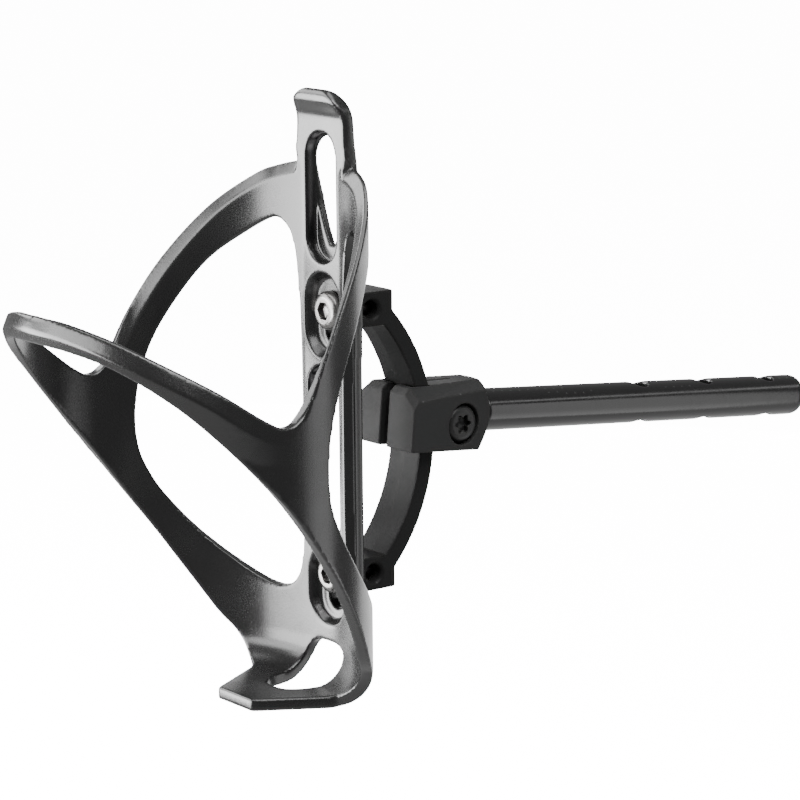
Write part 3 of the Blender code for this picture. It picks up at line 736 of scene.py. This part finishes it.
def build_ring_segment(name):
    """Sweep the bracket's section about the arc's centre; its hollow side is a very shallow ridge."""
    section = [
        (-ARC_HALF_WIDTH, ARC_INNER_R + ARC_VEE),
        (0.0, ARC_INNER_R),
        (ARC_HALF_WIDTH, ARC_INNER_R + ARC_VEE),
        (ARC_HALF_WIDTH, ARC_OUTER_R),
        (-ARC_HALF_WIDTH, ARC_OUTER_R),
    ]
    loops = []
    for i in range(ARC_STEPS + 1):
        turn = math.radians(ARC_HALF_DEG) * (2.0 * i / ARC_STEPS - 1.0)
        away, up = math.cos(turn), math.sin(turn)
        loops.append([(x, ARC_CENTRE_Y + radius * away, radius * up) for x, radius in section])
    return loft(name, loops)


def block_plan():
    """End block seen from above: square in front, rounded corners at the back."""
    plan = [(-ARC_HALF_WIDTH, BLOCK_FRONT_Y), (ARC_HALF_WIDTH, BLOCK_FRONT_Y)]
    corner_y = BLOCK_BACK_Y - BLOCK_CORNER_R
    for side, start in ((1.0, 0.0), (-1.0, math.pi / 2.0)):
        for i in range(BLOCK_CORNER_STEPS + 1):
            turn = start + math.pi / 2.0 * i / BLOCK_CORNER_STEPS
            x = side * (ARC_HALF_WIDTH - BLOCK_CORNER_R) + BLOCK_CORNER_R * math.cos(turn)
            plan.append((x, corner_y + BLOCK_CORNER_R * math.sin(turn)))
    return plan


def build_arc_bracket():
    bracket = build_ring_segment("arc_bracket_body")
    low, high = BLOCK_SPAN_Z
    for bottom, top in ((low, high), (-high, -low)):
        combine(bracket, prism("block", block_plan(), "Z", bottom, top), "UNION")
    inner = ARC_HALF_WIDTH - (SIDE_HOLE_MOUTH_R - SIDE_HOLE_R)
    outer = ARC_HALF_WIDTH + OVERCUT
    flare = SIDE_HOLE_MOUTH_R + OVERCUT
    side_hole = [(0.0, -outer), (flare, -outer), (SIDE_HOLE_R, -inner)]
    side_hole += [(SIDE_HOLE_R, inner), (flare, outer), (0.0, outer)]
    bolt_hole = [(0.0, -OVERCUT), (BOLT_HOLE_R, -OVERCUT), (BOLT_HOLE_R, THREAD_DEPTH), (0.0, THREAD_DEPTH)]
    for z in (BOLT_SPACING / 2.0, -BOLT_SPACING / 2.0):
        front = frame_along((0.0, 1.0, 0.0), (0.0, BLOCK_FRONT_Y, z))
        combine(bracket, lathe("bolt_hole", bolt_hole, front), "DIFFERENCE")
        side = frame_along((1.0, 0.0, 0.0), (0.0, SIDE_HOLE_Y, z))
        combine(bracket, lathe("side_hole", side_hole, side), "DIFFERENCE")
    soften(bracket, BRACKET_VOXEL, BRACKET_PASSES)
    deliver(bracket, bracket_material(), "arc_bracket", "cradle")


# ---------------------------------------------------------------- clamp and rod


def rod_frame():
    """Local Z along the rod towards its free end, local Y upwards, origin at the clamp's middle."""
    pitch = math.radians(ROD_PITCH_DEG)
    along = Vector((0.0, math.cos(pitch), -math.sin(pitch)))
    across = Vector((-1.0, 0.0, 0.0))
    up = along.cross(across)
    matrix = Matrix((across, up, along)).transposed().to_4x4()
    return Matrix.Translation((0.0, CLAMP_MIDDLE_Y, ROD_HEIGHT)) @ matrix


def clamp_section(along, drop):
    """Six-sided cross-section of the clamp, as (across, up, along) in the rod's frame."""
    back = along - CLAMP_FRONT
    half = CLAMP_FRONT_HALF_WIDTH - CLAMP_TAPER * back
    crown = half - CLAMP_CROWN_INSET
    bottom = CLAMP_BOTTOM + CLAMP_BOTTOM_SLOPE * back
    top = CLAMP_EDGE_TOP + CLAMP_TOP_SLOPE * back - drop
    right = [(half, bottom), (half, top), (crown, top + CLAMP_CROWN_RISE + CLAMP_CROWN_SLOPE * back)]
    return [(x, up, along) for x, up in right + [(-x, up) for x, up in reversed(right)]]


def build_clamp_blank(name):
    loops = []
    shoulder = CLAMP_FRONT + CLAMP_FRONT_BEVEL
    for along, drop in ((CLAMP_FRONT, CLAMP_FRONT_BEVEL), (shoulder, 0.0), (CLAMP_END, 0.0)):
        loops.append([rod_frame() @ Vector(corner) for corner in clamp_section(along, drop)])
    return loft(name, loops)


def box_along_rod(name, half_width, start, end):
    """Tall thin cutter in the rod's own plane."""
    low, high = -CUTTER_REACH, CUTTER_REACH
    outline = [(-half_width, low), (half_width, low), (half_width, high), (-half_width, high)]
    box = prism(name, outline, "Z", start, end)
    box.data.transform(rod_frame())
    return box


def cylinder(name, radius, low, high, matrix):
    return lathe(name, [(0.0, low), (radius, low), (radius, high), (0.0, high)], matrix)


def build_clamp():
    clamp = build_clamp_blank("clamp_jaws")
    front = CLAMP_FRONT - CUTTER_REACH
    nose = [(0.0, front), (NOSE_START_R, front), (NOSE_START_R, NOSE_START)]
    nose += [(NOSE_R, CLAMP_END), (0.0, CLAMP_END)]
    combine(clamp, lathe("nose", nose, rod_frame()), "INTERSECT")
    pocket = arc_outline(ARC_INNER_R - FIT_GAP, ARC_OUTER_R + FIT_GAP, POCKET_HALF_DEG)
    reach = ARC_HALF_WIDTH + FIT_GAP
    combine(clamp, prism("pocket", pocket, "X", -reach, reach), "DIFFERENCE")
    in_pocket = ARC_CENTRE_Y + (ARC_INNER_R + ARC_OUTER_R) / 2.0 - CLAMP_MIDDLE_Y
    combine(clamp, box_along_rod("jaw_slit", JAW_SLIT / 2.0, front, in_pocket), "DIFFERENCE")
    combine(clamp, box_along_rod("back_slit", BACK_SLIT / 2.0, in_pocket, BACK_SLIT_END), "DIFFERENCE")
    bolt = clamp_bolt_frame(0.0)
    bore_start = CLAMP_END - SPIGOT_LENGTH - FIT_GAP
    bores = [("recess", CLAMP_RECESS_R, CLAMP_RECESS_FLOOR_X, bolt)]
    bores.append(("bolt_hole", BOLT_HOLE_R, CLAMP_BORE_END_X, bolt))
    bores.append(("bore", SPIGOT_R + FIT_GAP, bore_start, rod_frame()))
    for name, radius, start, matrix in bores:
        combine(clamp, cylinder(name, radius, start, CUTTER_REACH, matrix), "DIFFERENCE")
    soften(clamp, CLAMP_VOXEL, CLAMP_PASSES)
    deliver(clamp, clamp_material(), "clamp_block", "holder")


def build_rod():
    shoulder = CLAMP_END + FIT_GAP
    end = shoulder + ROD_LENGTH
    spigot_start = CLAMP_END - SPIGOT_LENGTH
    profile = [(0.0, spigot_start), (SPIGOT_R, spigot_start), (SPIGOT_R, shoulder), (ROD_R, shoulder)]
    for i in range(ROD_EDGE_STEPS + 1):
        turn = math.pi / 2.0 * i / ROD_EDGE_STEPS
        reach = ROD_R - ROD_EDGE_R * (1.0 - math.cos(turn))
        profile.append((reach, end - ROD_EDGE_R * (1.0 - math.sin(turn))))
    profile.append((0.0, end))
    rod = lathe("support_bar", profile, rod_frame())
    for i in range(ROD_HOLES):
        origin = rod_frame() @ Vector((0.0, 0.0, end - ROD_HOLE_FIRST - i * ROD_HOLE_PITCH))
        matrix = frame_along(rod_frame().to_3x3() @ Vector((0.0, 1.0, 0.0)), origin)
        combine(rod, cylinder("cross_hole", ROD_HOLE_R, -CUTTER_REACH, CUTTER_REACH, matrix), "DIFFERENCE")
    soften(rod, ROD_VOXEL, ROD_PASSES)
    deliver(rod, rod_material(), "support_rod", "holder")


# ---------------------------------------------------------------- materials


def new_material(name):
    material = bpy.data.materials.new(name)
    material.use_nodes = True
    nodes = material.node_tree.nodes
    links = material.node_tree.links
    return material, nodes, links, nodes["Principled BSDF"]


def noise(nodes, links, coordinates, scale, detail):
    node = nodes.new("ShaderNodeTexNoise")
    node.inputs["Scale"].default_value = scale
    node.inputs["Detail"].default_value = detail
    links.new(coordinates.outputs["Object"], node.inputs["Vector"])
    return node.outputs["Fac"]


def spread(nodes, links, value, low, high):
    """Map the middle range of a noise onto low to high."""
    node = nodes.new("ShaderNodeMapRange")
    node.inputs["From Min"].default_value = NOISE_LOW
    node.inputs["From Max"].default_value = NOISE_HIGH
    node.inputs["To Min"].default_value = low
    node.inputs["To Max"].default_value = high
    links.new(value, node.inputs["Value"])
    return node.outputs["Result"]


def mix_colours(nodes, links, share, dark, light):
    node = nodes.new("ShaderNodeMix")
    node.data_type = "RGBA"
    node.inputs["A"].default_value = (*dark, 1.0)
    node.inputs["B"].default_value = (*light, 1.0)
    links.new(share, node.inputs["Factor"])
    return node.outputs["Result"]


def bump(nodes, links, shader, height, distance):
    node = nodes.new("ShaderNodeBump")
    node.inputs["Strength"].default_value = 1.0
    node.inputs["Distance"].default_value = distance
    links.new(height, node.inputs["Height"])
    links.new(node.outputs["Normal"], shader.inputs["Normal"])


def black_finish(name, grey, edge_highlight_grey, roughness, specular, grain, grain_depth):
    """Black moulded or anodised surface: fine grain, slow changes of gloss, and paler sharp edges as a
    painted edge highlight.
    """
    material, nodes, links, shader = new_material(name)
    coordinates = nodes.new("ShaderNodeTexCoord")
    slow = noise(nodes, links, coordinates, GLOSS_SCALE, GLOSS_DETAIL)
    fine = noise(nodes, links, coordinates, grain, GRAIN_DETAIL)
    # Painted edge highlight: sharp convex edges, found by pointiness, are given a paler grey.
    edge_highlight = nodes.new("ShaderNodeMapRange")
    edge_highlight.inputs["From Min"].default_value = EDGE_HIGHLIGHT_START
    edge_highlight.inputs["From Max"].default_value = EDGE_HIGHLIGHT_FULL
    edge_highlight.inputs["To Max"].default_value = EDGE_HIGHLIGHT_MOST
    links.new(nodes.new("ShaderNodeNewGeometry").outputs["Pointiness"], edge_highlight.inputs["Value"])
    colour = mix_colours(nodes, links, edge_highlight.outputs["Result"], (grey,) * 3, (edge_highlight_grey,) * 3)
    links.new(colour, shader.inputs["Base Color"])
    total = nodes.new("ShaderNodeMath")
    links.new(spread(nodes, links, slow, *roughness), total.inputs[0])
    links.new(spread(nodes, links, fine, -GRAIN_GLOSS, GRAIN_GLOSS), total.inputs[1])
    links.new(total.outputs["Value"], shader.inputs["Roughness"])
    shader.inputs["Specular IOR Level"].default_value = specular
    bump(nodes, links, shader, fine, grain_depth)
    return material


def cage_material():
    return black_finish(
        "cage_gloss_black", grey=0.006, edge_highlight_grey=0.03, roughness=(0.20, 0.28), specular=0.5,
        grain=2600.0, grain_depth=0.000010,
    )


def clamp_material():
    return black_finish(
        "clamp_satin_black", grey=0.018, edge_highlight_grey=0.06, roughness=(0.38, 0.50), specular=0.03,
        grain=1800.0, grain_depth=0.000012,
    )


def bracket_material():
    return black_finish(
        "bracket_satin_black", grey=0.010, edge_highlight_grey=0.04, roughness=(0.28, 0.40), specular=0.03,
        grain=1500.0, grain_depth=0.000010,
    )


def rod_material():
    return black_finish(
        "rod_gloss_black", grey=0.006, edge_highlight_grey=0.03, roughness=(0.12, 0.20), specular=0.4,
        grain=1200.0, grain_depth=0.000008,
    )


def bolt_black_material():
    return black_finish(
        "bolt_black_oxide", grey=0.010, edge_highlight_grey=0.05, roughness=(0.30, 0.42), specular=0.2,
        grain=2000.0, grain_depth=0.000008,
    )


def stainless_material():
    material, nodes, links, shader = new_material("stainless_steel")
    coordinates = nodes.new("ShaderNodeTexCoord")
    slow = noise(nodes, links, coordinates, STEEL_STAIN_SCALE, GLOSS_DETAIL)
    fine = noise(nodes, links, coordinates, STEEL_GRAIN_SCALE, GRAIN_DETAIL)
    shader.inputs["Metallic"].default_value = 1.0
    links.new(mix_colours(nodes, links, slow, STEEL_DARK, STEEL_LIGHT), shader.inputs["Base Color"])
    links.new(spread(nodes, links, slow, *STEEL_ROUGHNESS), shader.inputs["Roughness"])
    bump(nodes, links, shader, fine, STEEL_GRAIN_DEPTH)
    return material


# ---------------------------------------------------------------- studio


def softbox(name, direction, distance, size, radiance, faces):
    """Area light that the camera doesn't see."""
    turn, lift = (math.radians(angle) for angle in direction)
    level = math.cos(lift)
    outwards = Vector((math.sin(turn) * level, -math.cos(turn) * level, math.sin(lift)))
    light = bpy.data.lights.new(name, "AREA")
    light.shape = "RECTANGLE"
    light.size, light.size_y = size
    light.energy = radiance * math.pi * size[0] * size[1]
    obj = bpy.data.objects.new(name, light)
    obj.location = LAYOUT + Vector(faces) + outwards * distance
    obj.rotation_euler = outwards.to_track_quat("Z", "Y").to_euler()
    obj.visible_camera = False
    bpy.context.scene.collection.objects.link(obj)


def light_studio():
    """Big softbox at the left front, strips for the rims and the rod, and dim panels behind."""
    for values in SOFTBOXES:
        softbox(*values)


def white_world():
    """Near-white behind the object for the camera; for everything else dim above and lighter below."""
    world = bpy.data.worlds.new("studio")
    world.use_nodes = True
    nodes = world.node_tree.nodes
    links = world.node_tree.links
    background = nodes["Background"]
    background.inputs["Color"].default_value = (1.0, 1.0, 1.0, 1.0)
    place = nodes.new("ShaderNodeSeparateXYZ")
    links.new(nodes.new("ShaderNodeTexCoord").outputs["Generated"], place.inputs["Vector"])
    ground = nodes.new("ShaderNodeMapRange")
    ground.inputs["From Min"].default_value = WORLD_TURN[0]
    ground.inputs["From Max"].default_value = WORLD_TURN[1]
    ground.inputs["To Min"].default_value = WORLD_ABOVE
    ground.inputs["To Max"].default_value = WORLD_BELOW
    links.new(place.outputs["Z"], ground.inputs["Value"])
    strength = nodes.new("ShaderNodeMix")
    links.new(nodes.new("ShaderNodeLightPath").outputs["Is Camera Ray"], strength.inputs["Factor"])
    links.new(ground.outputs["Result"], strength.inputs["A"])
    strength.inputs["B"].default_value = WHITE
    links.new(strength.outputs["Result"], background.inputs["Strength"])
    bpy.context.scene.world = world


def build_floor():
    bm = bmesh.new()
    bmesh.ops.create_grid(bm, x_segments=FLOOR_PARTS, y_segments=FLOOR_PARTS, size=FLOOR_REACH)
    floor = new_object("floor", bm)
    floor.location = (0.0, 0.0, LAYOUT.z + CAGE_LOW.z - FLOOR_DROP)
    material, _, _, shader = new_material("pale_floor")
    shader.inputs["Base Color"].default_value = (FLOOR_GREY, FLOOR_GREY, FLOOR_GREY, 1.0)
    shader.inputs["Roughness"].default_value = FLOOR_GREY
    shader.inputs["Emission Color"].default_value = (1.0, 1.0, 1.0, 1.0)
    shader.inputs["Emission Strength"].default_value = WHITE
    floor.data.materials.append(material)
    floor.visible_glossy = False
    floor.visible_diffuse = False


def place_camera():
    back = Vector((
        math.sin(CAMERA_AZIMUTH) * math.cos(CAMERA_ELEVATION),
        -math.cos(CAMERA_AZIMUTH) * math.cos(CAMERA_ELEVATION),
        math.sin(CAMERA_ELEVATION),
    ))
    right = Vector((math.cos(CAMERA_AZIMUTH), math.sin(CAMERA_AZIMUTH), 0.0))
    turned = Matrix((right, back.cross(right), back)).transposed() @ Matrix.Rotation(-CAMERA_ROLL, 3, "Z")
    data = bpy.data.cameras.new("camera")
    data.lens = CAMERA_LENS
    camera = bpy.data.objects.new("camera", data)
    camera.matrix_world = Matrix.Translation(CAMERA_AT) @ turned.to_4x4()
    bpy.context.scene.collection.objects.link(camera)
    bpy.context.scene.camera = camera


build_cage()
build_cage_bolts()
build_arc_bracket()
build_clamp()
build_clamp_bolt()
build_rod()
light_studio()
white_world()
build_floor()
place_camera()
